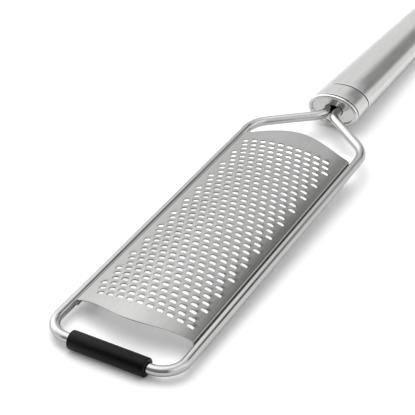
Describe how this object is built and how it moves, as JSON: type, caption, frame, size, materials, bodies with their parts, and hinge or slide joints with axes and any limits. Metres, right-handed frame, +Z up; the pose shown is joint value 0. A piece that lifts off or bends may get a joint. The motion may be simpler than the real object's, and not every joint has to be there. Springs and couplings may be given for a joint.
{
  "type": "hand grater",
  "caption": "Long hand grater: an arched, toothed steel blade in a bent wire frame with a rubber foot at the front and an oval hollow steel handle with a hanging loop.",
  "frame": {"origin": "on the table the grater lies on, under the middle of its bounding box", "axes": "+X across the blade, +Y from the rubber foot towards the handle, +Z up, with the grater lying on its foot and on the tail of its handle"},
  "size_m": [0.0676, 0.4006, 0.0195],
  "materials": {
    "polished_wire": "bright drawn and polished stainless wire",
    "blade_steel": "satin stainless sheet, ground across the blade",
    "handle_steel": "satin stainless, brushed along the handle",
    "polished_cap": "polished stainless",
    "black_rubber": "matt black soft rubber",
    "core_moulding": "plain dark moulding, out of sight"
  },
  "bodies": {
    "root": {"wire_frame": "polished_wire", "foot_sleeve": "black_rubber", "grater_blade": "blade_steel", "front_cap": "polished_cap", "front_ferrule": "handle_steel", "handle_tube": "handle_steel", "grip_core": "core_moulding", "end_cap": "polished_cap", "hanging_loop": "polished_wire"}
  },
  "joints": []
}
